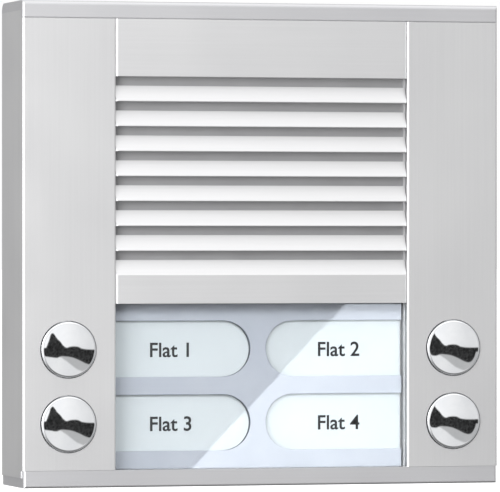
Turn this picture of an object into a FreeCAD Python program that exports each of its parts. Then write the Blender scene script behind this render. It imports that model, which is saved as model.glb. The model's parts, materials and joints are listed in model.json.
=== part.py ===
"""Surface-mounted audio door intercom for four flats, in millimetres.

X is to the right, +Z is up, and -Y points out of the wall at the visitor.
The origin is the centre of the face that rests on the wall.
"""
import FreeCAD
import Part
import math
import os
from FreeCAD import Vector

# ---- housing ----
WIDTH = 137.0
HEIGHT = 134.0
DEPTH = 25.0
WALL = 2.0
FRONT = -DEPTH
HALF_W = WIDTH / 2
HALF_H = HEIGHT / 2
EDGE = 0.7                      # round on the long outer edges
SEAM = 0.05                     # gap between a cap's lip and what it meets
SEAM_EDGE = 0.2                 # chamfer along the seam below the upper cap
SCREW_HEAD_R = 1.9
THREAD_R = 1.15                 # self-tapping screws in the web
PILOT_R = 1.25
CLEARANCE_R = 1.3
SCREW_TIP = 0.1                 # how far a tip stays behind the web's front face

# ---- centre channel between the two columns ----
CHANNEL = 42.0                  # half width
CHANNEL_EDGE = 0.6              # round on the channel's front edges
INNER_WALL = 2.5
GROOVE_DEPTH = 1.0
GROOVE_FRONT = FRONT + 2.4
GROOVE_BACK = FRONT + 4.6
WEB_FRONT = -18.0
WEB_BACK = -16.5

# ---- end caps ----
CAP_PLATE = 2.7                 # height on the side faces
CAP_LIP = 4.7                   # height on the front face
BOTTOM_CAP_INSET = 0.3          # the bottom cap is a little narrower
CAP_TOP_ROUND = 1.2
CAP_BOTTOM_ROUND = 0.6
CAP_BACK_ROUND = 2.5
PLATE_Z = HALF_H - CAP_PLATE
LIP_Z = HALF_H - CAP_LIP
PORT_X = 63.6                   # extruded screw port in each column
PORT_Y = -6.5
PORT_R = 3.3
PORT_BORE = 1.5
CAP_SCREW_R = 1.45
CAP_SCREW_LENGTH = 13.0
CAP_SCREW_HEAD_R = 3.0
CAP_SINK = 1.8                  # depth of a countersink
SPIGOT_OUTER = 60.0
SPIGOT_BACK = -19.5
SPIGOT_FOOT = 60.5
HANGER_X = [18.0, 34.0]
HANGER_FRONT = -6.5
HANGER_BACK = -5.1
HANGER_FOOT = 61.9
LOCK_HOLE_R = 1.7
LOCK_HEAD_R = 2.9
LOCK_TIP = -60.6

# ---- louvre grille ----
GRILLE_T = 3.0
GRILLE_SIDE = CHANNEL - 0.1
GRILLE_TOP = LIP_Z - SEAM
GRILLE_BOTTOM = -16.4
LOUVRE_COUNT = 8
LOUVRE_PITCH = 6.88
LOUVRE_TOP = 46.3
LOUVRE_OPEN = 2.5               # height of each slot
LOUVRE_DEPTH = 2.2              # how far back each slat's top edge lies
LOUVRE_DISH = 0.15              # how far each slat's face is hollowed
LOUVRE_LIP = 0.2                # flat front edge of each slat
LOUVRE_ROUND = 0.12
GRILLE_EDGE = 0.4               # chamfer up both sides of the insert
RAIL_WIDTH = 1.5
MESH_T = 0.3
MESH_MARGIN = 2.0

# ---- name window ----
PANE_FRONT = FRONT + 2.5
PANE_T = 2.0
PANE_SIDE = CHANNEL + 0.8
WINDOW_TOP = GRILLE_BOTTOM - 0.1
WINDOW_BOTTOM = -LIP_Z + 0.1
MASK_FRONT = -19.4
MASK_T = 1.0
LABEL_R = 7.8                   # half height of a name opening
LABEL_INNER = 2.2               # inner end of each opening, from the centre line
CARD_T = 0.3
CARD_MARGIN = 1.0
LIGHT_X = 38.0
LIGHT_TOP = -19.0
LIGHT_BOTTOM = -60.0
TRAY_WALL = 1.2
TRAY_BACK = -12.2
TRAY_FLOOR = -13.2
TRAY_SCREW_X = 30.0
LED_BOARD_T = 1.0
LED_T = 0.8
LED_PITCH = 18.0
LED_COUNT = 4

# ---- bell buttons ----
BUTTON_X = 55.5
BUTTON_Z = [-29.0, -49.5]
BUTTON_HOLE_R = 7.92
BUTTON_HOLE_EDGE = 0.12         # chamfer round each hole
BUTTON_R = 7.7
BUTTON_RIM = 0.7                # round at the edge of the cap
BUTTON_RISE = 0.8               # how far out the top of that round stands
BUTTON_DOME = 0.5
FLANGE_R = 8.9
FLANGE_T = 1.0
STEM_R = 2.5
STEM_END = -16.6
CARRIER_BASE = -17.9
CARRIER_BACK = -16.9
POCKET_R = 9.2
SPRING_R = 6.0
SPRING_WIRE = 0.35
SPRING_TURNS = 3.5
SPRING_SEAT = 0.05
SPRING_START = [90.0, 0.0]      # where the wire starts, in the upper and the lower buttons
BUTTON_SCREW_X = 40.0
BUTTON_SCREW_Z = [-26.0, -52.0]
EAR_T = 1.6

# ---- boards ----
PCB_FRONT = -11.6
PCB_T = 1.6
PCB_BACK = PCB_FRONT + PCB_T
PCB_HALF = 59.6
PCB_TOP = -12.0
PCB_BOTTOM = -61.0
SWITCH_SIZE = 6.0
SWITCH_T = 3.5
PLUNGER_R = 1.7
PLUNGER_GAP = 0.08
BOARD_SCREW_Z = -39.25
BOARD_SCREW_X = [47.6, 58.0]
STANDOFF_X = 16.0
STANDOFF_Z = -14.6
STANDOFF_R = 2.3
BOARD_PILOT_R = 1.05
BOARD_SCREW_TIP = PCB_FRONT - 3.2
TERMINAL_PITCH = 5.0
TERMINAL_POLES = 6
TERMINAL_Z = [-59.0, -49.5]
TERMINAL_T = 6.2
TERMINAL_SCREW_Z = TERMINAL_Z[0] + 4.2
CHIP_X = -30.0
CHIP_Z = -30.0
CHIP_LEGS = 7
CHIP_LEG_PITCH = 1.3
CAPACITORS = [(33.0, -33.0, 3.2), (42.0, -33.0, 2.5), (33.0, -24.0, 2.5)]
CAPACITOR_T = 5.6
TRIMMERS = [(-45.0, -55.0), (-33.0, -55.0)]
TRIMMER_R = 2.0
TRIMMER_HALF = 3.3
TRIMMER_T = 3.6
TRIMMER_FLOOR = 1.6

# ---- loudspeaker ----
SPEAKER_Z = 19.0
SPEAKER_R = 28.0
SPEAKER_RIM = -14.9             # front of the loudspeaker's rim
SURROUND_T = 0.4
MOUTH_R = 23.0
SPEAKER_SCREW_REACH = 30.6
BASKET_RIM_T = 1.2
BASKET_DEPTH = 7.2
BASKET_VENTS = 6
MAGNET_R = 15.0
MAGNET_T = 4.4
MICROPHONE_X = -34.0
MICROPHONE_Z = -3.2
MICROPHONE_MOUTH_R = 3.0
BOOT_FLOOR = 1.6

# ---- leads inside ----
LEAD_R = 0.5
LEAD_BEND = 1.2
LEAD_SPREAD = 1.27              # half the spacing of a pair
SPEAKER_TAG_Z = -1.0
SPEAKER_TAG_Y = -10.1
PIN_R = 0.32
PIN_Z = -39.5

# ---- wall plate ----
PLATE_FRONT = -3.0
PLATE_X = 66.2
PLATE_HALF_Z = 64.0
SEAL_T = 1.0
SEAL_WIDTH = 5.0
SLOT_X = 30.0
SLOT_Z = 50.0
SLOT_R = 2.25
SLOT_LENGTH = 10.0
CABLE_Z = -30.0
CABLE_R = 4.5
GROMMET_HOLE_R = 8.0
HOOK_X = [20.0, 32.0]
POCKET_DEPTH = 1.2              # hollows in the wall side, between the ribs
POCKET_CORNER = 2.5
# x and z range of each hollow on the right half; the left half mirrors it
POCKETS = [(13.0, 34.5, 4.0, 42.0), (37.0, 57.0, 4.0, 42.0),
           (13.0, 34.5, -42.0, -4.0), (37.0, 57.0, -42.0, -4.0),
           (40.0, 57.0, 44.5, 56.0), (40.0, 57.0, -56.0, -44.5)]
ARROW_Z = [47.0, 54.0]
ARROW_HALF = 4.0

GAP = 0.1


def box(x0, x1, y0, y1, z0, z1):
    """A block between two corners."""
    corner = Vector(min(x0, x1), min(y0, y1), min(z0, z1))
    return Part.makeBox(abs(x1 - x0), abs(y1 - y0), abs(z1 - z0), corner)


def rod(x, z, radius, y0, y1):
    """A round bar along Y, from y0 back to y1."""
    return Part.makeCylinder(radius, y1 - y0, Vector(x, y0, z), Vector(0, 1, 0))


def post(x, y, radius, z0, z1):
    """A round bar along Z."""
    return Part.makeCylinder(radius, z1 - z0, Vector(x, y, z0), Vector(0, 0, 1))


def mirrored(shape):
    """The same shape on the other side of the centre line."""
    return shape.mirror(Vector(0, 0, 0), Vector(1, 0, 0))


def pair(shape):
    """A shape and its mirror image."""
    return [shape, mirrored(shape)]


def fuse(shapes):
    """One solid out of several that meet."""
    result = shapes[0].multiFuse(shapes[1:]).removeSplitter()
    return result.Solids[0] if len(result.Solids) == 1 else result


def cut(shape, tools):
    """A shape less some others."""
    result = shape.cut(tools)
    return result.Solids[0] if len(result.Solids) == 1 else result


def prism(points, direction):
    """A flat outline of corner points, drawn out along a vector."""
    wire = Part.makePolygon(points + points[:1])
    return Part.Face(wire).extrude(direction)


def ring(x, z, outer, inner, y0, y1):
    """A flat ring or tube along Y."""
    return cut(rod(x, z, outer, y0, y1), [rod(x, z, inner, y0 - 1, y1 + 1)])


def turned(x, z, outline):
    """A solid turned about a Y axis, from (radius, y) corners."""
    points = [Vector(r, y, 0) for r, y in outline]
    face = Part.Face(Part.makePolygon(points + points[:1]))
    solid = face.revolve(Vector(0, 0, 0), Vector(0, 1, 0), 360)
    solid.translate(Vector(x, 0, z))
    return solid


def edges_where(shape, test):
    """The edges whose two ends both pass a test."""
    return [e for e in shape.Edges
            if len(e.Vertexes) == 2 and all(test(v.Point) for v in e.Vertexes)]


def near(a, b):
    """Whether two measures are the same."""
    return abs(a - b) < 1e-4


def button_places():
    """The four buttons: upper left, upper right, lower left, lower right."""
    return [(side * BUTTON_X, z) for z in BUTTON_Z for side in (-1, 1)]


# ---------------------------------------------------------------- housing

def front_profile():
    """The extrusion: two hollow columns, joined by a web behind the channel."""
    inner = CHANNEL + INNER_WALL
    column = [
        box(HALF_W - WALL, HALF_W, FRONT, 0, -PLATE_Z, PLATE_Z),
        box(CHANNEL, HALF_W, FRONT, FRONT + WALL, -PLATE_Z, PLATE_Z),
        box(CHANNEL, inner, FRONT, WEB_BACK, -PLATE_Z, PLATE_Z),
        post(PORT_X, PORT_Y, PORT_R, -PLATE_Z, PLATE_Z),
    ]
    web = box(-inner, inner, WEB_FRONT, WEB_BACK, -PLATE_Z, PLATE_Z)
    body = fuse([web] + [s for c in column for s in pair(c)])
    outer_edges = edges_where(body, lambda p: near(abs(p.x), HALF_W) and near(p.y, FRONT))
    body = body.makeFillet(EDGE, outer_edges)
    channel_edges = edges_where(body, lambda p: near(abs(p.x), CHANNEL) and near(p.y, FRONT))
    body = body.makeFillet(CHANNEL_EDGE, channel_edges)
    past_side = box(HALF_W, HALF_W + PORT_R, FRONT, 0, -HALF_H, HALF_H)
    groove = box(CHANNEL - 1, CHANNEL + GROOVE_DEPTH, GROOVE_FRONT, GROOVE_BACK, -HALF_H, HALF_H)
    tools = pair(groove) + pair(past_side)
    tools += pair(post(PORT_X, PORT_Y, PORT_BORE, -HALF_H, HALF_H))
    for end in (-1, 1):
        tools.append(box(-HALF_W, HALF_W, FRONT - 1, FRONT + WALL, end * (LIP_Z - SEAM), end * HALF_H))
    tools.append(seam_edge(HALF_W, LIP_Z - SEAM))
    tools += [rod(x, z, BUTTON_HOLE_R, FRONT - 1, FRONT + WALL + 1) for x, z in button_places()]
    tools += [hole_edge(x, z) for x, z in button_places()]
    tools.append(rod(0, SPEAKER_Z, MOUTH_R, WEB_FRONT - 1, WEB_BACK + 1))
    tools.append(rod(MICROPHONE_X, MICROPHONE_Z, MICROPHONE_MOUTH_R, WEB_FRONT - 1, WEB_BACK + 1))
    tools.append(box(-LIGHT_X, LIGHT_X, WEB_FRONT - 1, WEB_BACK + 1, LIGHT_BOTTOM, LIGHT_TOP))
    tools += [rod(x, z, PILOT_R, WEB_FRONT - 1, WEB_BACK + 1) for x, z in web_screw_places()]
    return cut(body, tools)


def seam_edge(side, top):
    """The sliver that chamfers a front edge that faces up at a height."""
    left = -side - 1
    corners = [(0, -SEAM_EDGE), (-1, -SEAM_EDGE - 1), (-1, 1), (SEAM_EDGE + 1, 1), (SEAM_EDGE, 0)]
    outline = [Vector(left, FRONT + y, top + z) for y, z in corners]
    return prism(outline, Vector(2 * side + 2, 0, 0))


def hole_edge(x, z):
    """The cone that chamfers the front of one button hole."""
    wide = BUTTON_HOLE_R + BUTTON_HOLE_EDGE + 1
    return Part.makeCone(wide, BUTTON_HOLE_R, BUTTON_HOLE_EDGE + 1,
                         Vector(x, FRONT - 1, z), Vector(0, 1, 0))


def web_screw_places():
    """Every self-tapping screw that bites in the web."""
    return speaker_screw_places() + tray_screw_places() + ear_screw_places() + standoff_places()


def cap_outline(front_round, wall_round):
    """The side view of the upper cap's plate and lip, as one closed face at X = 0."""
    front_y = FRONT + front_round
    wall_y = -wall_round
    quarter = math.sqrt(0.5)
    centre_z = HALF_H - front_round
    front_mid = Vector(0, front_y - front_round * quarter, centre_z + front_round * quarter)
    centre_z = HALF_H - wall_round
    wall_mid = Vector(0, wall_y + wall_round * quarter, centre_z + wall_round * quarter)
    corners = [Vector(0, wall_y, HALF_H), Vector(0, front_y, HALF_H),
               Vector(0, FRONT, HALF_H - front_round), Vector(0, FRONT, LIP_Z),
               Vector(0, FRONT + WALL, LIP_Z), Vector(0, FRONT + WALL, PLATE_Z),
               Vector(0, 0, PLATE_Z), Vector(0, 0, centre_z)]
    edges = [Part.LineSegment(a, b).toShape() for a, b in zip(corners, corners[1:])]
    edges[1] = Part.Arc(corners[1], front_mid, corners[2]).toShape()
    edges.append(Part.Arc(corners[-1], wall_mid, corners[0]).toShape())
    return Part.Face(Part.Wire(edges))


def cap_body(half_width, front_round, wall_round):
    """An end cap for the top, with its plate, front lip and inner spigots."""
    side = half_width
    shell = cap_outline(front_round, wall_round).extrude(Vector(2 * side, 0, 0))
    shell.translate(Vector(-side, 0, 0))
    spigot = box(CHANNEL + INNER_WALL + 0.3, SPIGOT_OUTER, FRONT + WALL + 0.2, SPIGOT_BACK,
                 SPIGOT_FOOT, PLATE_Z)
    cap = fuse([shell] + pair(spigot))
    corner = cut(box(side - EDGE, side + 1, FRONT - 1, FRONT + EDGE, 0, HALF_H + 1),
                 [post(side - EDGE, FRONT + EDGE, EDGE, -1, HALF_H + 2)])
    screw_holes = pair(post(PORT_X, PORT_Y, CAP_SCREW_R + 0.2, PLATE_Z - 1, HALF_H + 1))
    sink = Part.makeCone(CAP_SCREW_R, CAP_SCREW_HEAD_R + 0.2, CAP_SINK,
                         Vector(PORT_X, PORT_Y, HALF_H - CAP_SINK), Vector(0, 0, 1))
    return cut(cap, screw_holes + pair(sink) + pair(corner))


def top_cap():
    """The upper end cap, rounded off at the wall, with ribs that hang on the wall plate."""
    cap = cap_body(HALF_W, CAP_TOP_ROUND, CAP_BACK_ROUND)
    rib = box(HANGER_X[0], HANGER_X[1], HANGER_FRONT, HANGER_BACK, HANGER_FOOT, PLATE_Z)
    under = seam_edge(HALF_W, 0).mirror(Vector(0, 0, 0), Vector(0, 0, 1))
    under.translate(Vector(0, 0, LIP_Z))
    return cut(fuse([cap] + pair(rib)), [under])


def bottom_cap():
    """The lower end cap, with the hole for the locking screw."""
    cap = cap_body(HALF_W - BOTTOM_CAP_INSET, CAP_BOTTOM_ROUND, CAP_BOTTOM_ROUND)
    cap = cut(cap, [post(0, PORT_Y, LOCK_HOLE_R, PLATE_Z - 1, HALF_H + 1),
                    post(0, PORT_Y, LOCK_HEAD_R + 0.3, HALF_H - 1.5, HALF_H + 1)])
    return cap.mirror(Vector(0, 0, 0), Vector(0, 0, 1))


def star_socket(x, y, z, radius, depth):
    """A six-sided driver socket, cut down from z."""
    points = []
    for i in range(6):
        turn = math.radians(60 * i)
        points.append(Vector(x + radius * math.cos(turn), y + radius * math.sin(turn), z - depth))
    return prism(points, Vector(0, 0, depth + 1))


def cap_screws():
    """Four countersunk screws, two down through each cap into the ports."""
    shank = post(PORT_X, PORT_Y, CAP_SCREW_R - 0.05, HALF_H - CAP_SCREW_LENGTH, HALF_H - 0.2)
    head = Part.makeCone(CAP_SCREW_R - 0.1, CAP_SCREW_HEAD_R, CAP_SINK - 0.2,
                         Vector(PORT_X, PORT_Y, HALF_H - CAP_SINK), Vector(0, 0, 1))
    screw = cut(fuse([shank, head]), [star_socket(PORT_X, PORT_Y, HALF_H - 0.2, 1.2, 1.0)])
    upper = pair(screw)
    lower = [s.mirror(Vector(0, 0, 0), Vector(0, 0, 1)) for s in upper]
    return upper + lower


def lock_screw():
    """The screw from below that locks the front unit to the wall plate."""
    z = -HALF_H + 0.3
    shank = post(0, PORT_Y, LOCK_HOLE_R - 0.3, -HALF_H + 1.0, LOCK_TIP)
    head = post(0, PORT_Y, LOCK_HEAD_R, z, -HALF_H + 1.5)
    socket = star_socket(0, PORT_Y, -HALF_H + 1.1, 1.3, 1.9)
    return cut(fuse([shank, head]), [socket])


# ---------------------------------------------------------------- grille

def louvre_cutter(top):
    """The air space of one louvre: a slot, and the hollow slat face below it."""
    slot_foot = top - LOUVRE_OPEN
    lip_top = top - LOUVRE_PITCH + LOUVRE_LIP
    slat_y = FRONT + LOUVRE_DEPTH
    back = FRONT + GRILLE_T + 1
    side = -GRILLE_SIDE - 2
    upper = Vector(side, slat_y, slot_foot)
    lower = Vector(side, FRONT, lip_top)
    slope = (upper - lower).normalize()
    hollow = (upper + lower) / 2 + Vector(0, slope.z, -slope.y) * LOUVRE_DISH
    corners = [lower, Vector(side, FRONT - 1, lip_top), Vector(side, FRONT - 1, top),
               Vector(side, back, top), Vector(side, back, slot_foot), upper]
    edges = [Part.LineSegment(a, b).toShape() for a, b in zip(corners, corners[1:])]
    edges.append(Part.Arc(upper, hollow, lower).toShape())
    face = Part.Face(Part.Wire(edges))
    return face.extrude(Vector(2 * GRILLE_SIDE + 4, 0, 0))


def louvre_grille():
    """The centre insert: eight louvres between a blank band above and one below."""
    back = FRONT + GRILLE_T
    plate = box(-GRILLE_SIDE, GRILLE_SIDE, FRONT, back, GRILLE_BOTTOM, GRILLE_TOP)
    tops = [LOUVRE_TOP - i * LOUVRE_PITCH for i in range(LOUVRE_COUNT)]
    slats = cut(plate, [louvre_cutter(top) for top in tops])
    lips = edges_where(slats, lambda p: near(p.y, FRONT) and any(near(p.z, t) for t in tops))
    slats = slats.makeFillet(LOUVRE_ROUND, lips)
    flank = prism([Vector(GRILLE_SIDE + 1, FRONT - 1, GRILLE_BOTTOM - 1),
                   Vector(GRILLE_SIDE - GRILLE_EDGE - 1, FRONT - 1, GRILLE_BOTTOM - 1),
                   Vector(GRILLE_SIDE + 1, FRONT + GRILLE_EDGE + 1, GRILLE_BOTTOM - 1)],
                  Vector(0, 0, HEIGHT))
    slats = cut(slats, [seam_edge(GRILLE_SIDE, GRILLE_TOP)] + pair(flank))
    rail = box(GRILLE_SIDE - RAIL_WIDTH, GRILLE_SIDE, back + MESH_T, WEB_FRONT,
               GRILLE_BOTTOM, GRILLE_TOP)
    tongue = box(GRILLE_SIDE - 0.2, PANE_SIDE, GROOVE_FRONT + GAP, GROOVE_BACK - GAP,
                 GRILLE_BOTTOM, GRILLE_TOP)
    return fuse(slats.Solids + pair(rail) + pair(tongue))


def grille_mesh():
    """A fine sheet of mesh behind the louvres, against rain and insects."""
    half = GRILLE_SIDE - 0.3
    back = FRONT + GRILLE_T
    return box(-half, half, back, back + MESH_T, GRILLE_BOTTOM + MESH_MARGIN, GRILLE_TOP - MESH_MARGIN)


# ---------------------------------------------------------------- names

def label_opening(side, z, margin, y0, y1):
    """A name opening: straight out to the channel wall, round at the inner end."""
    radius = LABEL_R + margin
    centre = side * (LABEL_INNER + LABEL_R)
    straight = box(centre, side * (CHANNEL + 2), y0, y1, z - radius, z + radius)
    return fuse([straight, rod(centre, z, radius, y0, y1)])


def window_pane():
    """The clear pane, which slides in the channel's grooves."""
    return box(-PANE_SIDE, PANE_SIDE, PANE_FRONT, PANE_FRONT + PANE_T, WINDOW_BOTTOM, WINDOW_TOP)


def label_mask():
    """The tinted mask with a rounded opening over each name."""
    side = CHANNEL - 0.2
    back = MASK_FRONT + MASK_T
    plate = box(-side, side, MASK_FRONT, back, WINDOW_BOTTOM, WINDOW_TOP)
    openings = [label_opening(s, z, 0, MASK_FRONT - 1, back + 1)
                for z in BUTTON_Z for s in (-1, 1)]
    return cut(plate, openings)


def name_card(side, z):
    """One paper name card, a little larger than its opening."""
    y = MASK_FRONT + MASK_T
    half = LABEL_R + CARD_MARGIN
    inner = side * (LABEL_INNER - CARD_MARGIN)
    return box(inner, side * (CHANNEL - 0.4), y, y + CARD_T, z - half, z + half)


def light_diffuser():
    """The opal plate in the web's window, which spreads the light."""
    side = LIGHT_X - GAP
    return box(-side, side, WEB_FRONT, WEB_BACK, LIGHT_BOTTOM + GAP, LIGHT_TOP - GAP)


def tray_screw_places():
    """The tray's four ears: two above the window in the web and two below it."""
    return [(sx * TRAY_SCREW_X, z) for z in (LIGHT_TOP + 3.0, LIGHT_BOTTOM - 2.3) for sx in (-1, 1)]


def light_tray():
    """The white tray behind the diffuser that holds the row of lamps."""
    side = LIGHT_X - 1.0
    low = LIGHT_BOTTOM + 0.6
    high = LIGHT_TOP - 0.6
    shell = box(-side, side, WEB_BACK, TRAY_BACK, low, high)
    hollow = box(-side + TRAY_WALL, side - TRAY_WALL, WEB_BACK - 1, TRAY_FLOOR,
                 low + TRAY_WALL, high - TRAY_WALL)
    ears = []
    for x, z in tray_screw_places():
        edge = high if z > high else low
        ears.append(box(x - 3.0, x + 3.0, WEB_BACK, WEB_BACK + TRAY_WALL, edge, z))
        ears.append(rod(x, z, 3.0 if z > high else 2.0, WEB_BACK, WEB_BACK + TRAY_WALL))
    tray = cut(fuse([shell] + ears), [hollow])
    below = box(-HALF_W, HALF_W, FRONT, 0, -HALF_H, -PLATE_Z)
    holes = [rod(x, z, CLEARANCE_R, WEB_BACK - 1, WEB_BACK + 2) for x, z in tray_screw_places()]
    pins = [rod(s * LEAD_SPREAD, PIN_Z, PIN_R + 0.3, TRAY_FLOOR - 1, TRAY_BACK + 1) for s in (-1, 1)]
    return cut(tray, holes + pins + [below])


def led_board():
    """The strip board on the tray's floor."""
    side = LIGHT_X - 2.6
    return box(-side, side, TRAY_FLOOR - LED_BOARD_T, TRAY_FLOOR, LIGHT_BOTTOM + 2.2, LIGHT_TOP - 2.2)


def leds():
    """Two rows of small white lamps."""
    back = TRAY_FLOOR - LED_BOARD_T
    start = -LED_PITCH * (LED_COUNT - 1) / 2
    rows = []
    for z in BUTTON_Z:
        for i in range(LED_COUNT):
            x = start + LED_PITCH * i
            rows.append(box(x - 1.75, x + 1.75, back - LED_T, back, z - 1.4, z + 1.4))
    return rows


def pan_screw(x, z, head_r, shank_r, y_head, head_t, y_tip):
    """A pan-head screw driven forwards, with a cross recess in its head."""
    head = rod(x, z, head_r, y_head, y_head + head_t)
    shank = rod(x, z, shank_r, y_tip, y_head + 0.1)
    arm = head_r * 0.55
    recess = [box(x - arm, x + arm, y_head + head_t * 0.5, y_head + head_t + 1, z - 0.2, z + 0.2),
              box(x - 0.2, x + 0.2, y_head + head_t * 0.5, y_head + head_t + 1, z - arm, z + arm)]
    return cut(fuse([head, shank]), recess)


def tray_screws():
    """Four screws through the tray's ears into the web."""
    return [pan_screw(x, z, SCREW_HEAD_R, THREAD_R, WEB_BACK + TRAY_WALL, 1.2, WEB_FRONT + SCREW_TIP)
            for x, z in tray_screw_places()]


# ---------------------------------------------------------------- sound

def speaker_screw_places():
    """Four screws on the diagonals, just outside the loudspeaker's rim."""
    reach = SPEAKER_SCREW_REACH / math.sqrt(2)
    return [(sx * reach, SPEAKER_Z + sz * reach) for sz in (-1, 1) for sx in (-1, 1)]


def speaker_gasket():
    """The foam ring between the web and the loudspeaker."""
    return ring(0, SPEAKER_Z, SPEAKER_R, 24.7, WEB_BACK, SPEAKER_RIM - SURROUND_T)


def speaker_basket():
    """The pressed frame: a flat rim, then a cone of wall down to the magnet."""
    y = SPEAKER_RIM
    foot = y + BASKET_DEPTH
    frame = turned(0, SPEAKER_Z, [(24.6, y), (SPEAKER_R, y), (SPEAKER_R, y + BASKET_RIM_T),
                                  (25.6, y + BASKET_RIM_T), (16.0, foot), (7.5, foot),
                                  (7.5, foot - 1.0), (15.4, foot - 1.0)])
    vents = []
    for i in range(BASKET_VENTS):
        window = box(12.0, 22.0, y + 1.8, foot - 1.3, -3.0, 3.0)
        window.rotate(Vector(0, 0, 0), Vector(0, 1, 0), 360 / BASKET_VENTS * (i + 0.5))
        window.translate(Vector(0, 0, SPEAKER_Z))
        vents.append(window)
    return cut(frame, vents)


def speaker_magnet():
    """The ring magnet with its pole, and the narrow gap for the coil."""
    y = SPEAKER_RIM + BASKET_DEPTH
    body = rod(0, SPEAKER_Z, MAGNET_R, y, y + MAGNET_T)
    return cut(body, [ring(0, SPEAKER_Z, 7.2, 5.6, y - 1, y + 3.0)])


def voice_coil():
    """The coil on its former, hanging in the magnet's gap."""
    y = SPEAKER_RIM + 3.1
    return ring(0, SPEAKER_Z, 6.6, 6.1, y, y + 6.1)


def speaker_surround():
    """The soft roll around the cone, with its flat edge on the frame's rim."""
    y = SPEAKER_RIM - SURROUND_T
    roll = []
    for i in range(9):
        turn = math.pi * i / 8
        roll.append((22.9 + 1.6 * math.cos(turn), y - 0.9 * math.sin(turn)))
    back = [(r, yy + SURROUND_T) for r, yy in reversed(roll)]
    edge = SPEAKER_R - 0.1
    return turned(0, SPEAKER_Z, [(edge, y)] + roll + back + [(edge, SPEAKER_RIM)])


def speaker_cone():
    """The paper cone."""
    y = SPEAKER_RIM - SURROUND_T
    return turned(0, SPEAKER_Z, [(21.25, y), (21.25, y + 0.5), (6.1, y + 3.5), (6.1, y + 3.0)])


def speaker_dust_cap():
    """The small dome over the coil."""
    y = SPEAKER_RIM + 2.6
    centre = 5.0
    ball = Part.makeSphere(8.0, Vector(0, y + centre, SPEAKER_Z))
    inside = Part.makeSphere(7.6, Vector(0, y + centre, SPEAKER_Z))
    shell = cut(ball, [inside])
    return shell.common(rod(0, SPEAKER_Z, 5.9, y - 5, y - 0.1)).Solids[0]


def speaker_screws():
    """Four screws whose heads clamp the loudspeaker's rim."""
    y = SPEAKER_RIM + BASKET_RIM_T
    return [pan_screw(x, z, 3.2, THREAD_R, y, 1.4, WEB_FRONT + SCREW_TIP)
            for x, z in speaker_screw_places()]


def microphone_boot():
    """The rubber boot that seals the microphone to the web."""
    y = WEB_BACK
    boot = rod(MICROPHONE_X, MICROPHONE_Z, 6.6, y, y + 8.2)
    flare = rod(MICROPHONE_X, MICROPHONE_Z, 7.4, y, y + 1.2)
    pocket = rod(MICROPHONE_X, MICROPHONE_Z, 4.9, y + BOOT_FLOOR, y + 9)
    mouth = rod(MICROPHONE_X, MICROPHONE_Z, MICROPHONE_MOUTH_R, y - 1, y + 2)
    return cut(fuse([boot, flare]), [pocket, mouth])


def microphone_capsule():
    """The electret capsule, pushed into its boot."""
    y = WEB_BACK + BOOT_FLOOR
    body = rod(MICROPHONE_X, MICROPHONE_Z, 4.85, y, y + 6.0)
    dish = rod(MICROPHONE_X, MICROPHONE_Z, 3.8, y - 1, y + 0.3)
    return cut(body, [dish])


# ---------------------------------------------------------------- buttons

def ear_screw_places():
    """Where the two carriers' ears are screwed to the web."""
    return [(sx * BUTTON_SCREW_X, z) for z in BUTTON_SCREW_Z for sx in (-1, 1)]


def button_carrier(side):
    """The moulding behind one column, with a pocket and stem hole for each button."""
    front = FRONT + WALL
    inner = CHANNEL + INNER_WALL + 0.3
    outer = HALF_W - WALL - 0.3
    block = box(inner, outer, front, CARRIER_BACK, -60.2, -17.6)
    parts = [block]
    holes = []
    for z in BUTTON_Z:
        holes.append(rod(BUTTON_X, z, POCKET_R, front - 1, CARRIER_BASE))
        holes.append(rod(BUTTON_X, z, STEM_R + 0.08, front, CARRIER_BACK + 1))
    for x in BOARD_SCREW_X:
        parts.append(rod(x, BOARD_SCREW_Z, 2.4, CARRIER_BASE, PCB_FRONT))
        holes.append(rod(x, BOARD_SCREW_Z, BOARD_PILOT_R, CARRIER_BACK + 1, PCB_FRONT + 1))
    for z in BUTTON_SCREW_Z:
        parts.append(box(38.2, inner + 3, WEB_BACK, WEB_BACK + EAR_T, z - 3, z + 3))
        parts.append(box(inner, inner + 3, CARRIER_BASE, WEB_BACK + EAR_T, z - 3, z + 3))
        holes.append(rod(BUTTON_SCREW_X, z, CLEARANCE_R, WEB_BACK - 1, WEB_BACK + 3))
    carrier = cut(fuse(parts), holes)
    return carrier if side > 0 else mirrored(carrier)


def carrier_screws():
    """Two screws hold each carrier to the web."""
    return [pan_screw(x, z, SCREW_HEAD_R, THREAD_R, WEB_BACK + EAR_T, 1.2, WEB_FRONT + SCREW_TIP)
            for x, z in ear_screw_places()]


def button_cap(x, z):
    """One polished push button: domed head, flange that keeps it in, and stem."""
    edge = FRONT - BUTTON_RISE
    bend = BUTTON_RIM
    flange_y = FRONT + WALL
    rim = Vector(BUTTON_R - bend, edge, 0)
    top = Vector(0, edge - BUTTON_DOME, 0)
    half = (BUTTON_R - bend) / 2
    crown = Vector(half, edge - BUTTON_DOME * 0.75, 0)
    side = Vector(BUTTON_R, edge + bend, 0)
    quarter = bend * math.sqrt(0.5)
    corner = Vector(BUTTON_R - bend + quarter, edge + bend - quarter, 0)
    steps = [side, Vector(BUTTON_R, flange_y, 0), Vector(FLANGE_R, flange_y, 0),
             Vector(FLANGE_R, flange_y + FLANGE_T, 0), Vector(STEM_R, flange_y + FLANGE_T, 0),
             Vector(STEM_R, STEM_END, 0), Vector(0, STEM_END, 0), top]
    edges = [Part.LineSegment(a, b).toShape() for a, b in zip(steps, steps[1:])]
    edges.append(Part.Arc(top, crown, rim).toShape())
    edges.append(Part.Arc(rim, corner, side).toShape())
    face = Part.Face(Part.Wire(edges))
    cap = face.revolve(Vector(0, 0, 0), Vector(0, 1, 0), 360)
    cap.translate(Vector(x, 0, z))
    return cap


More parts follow.
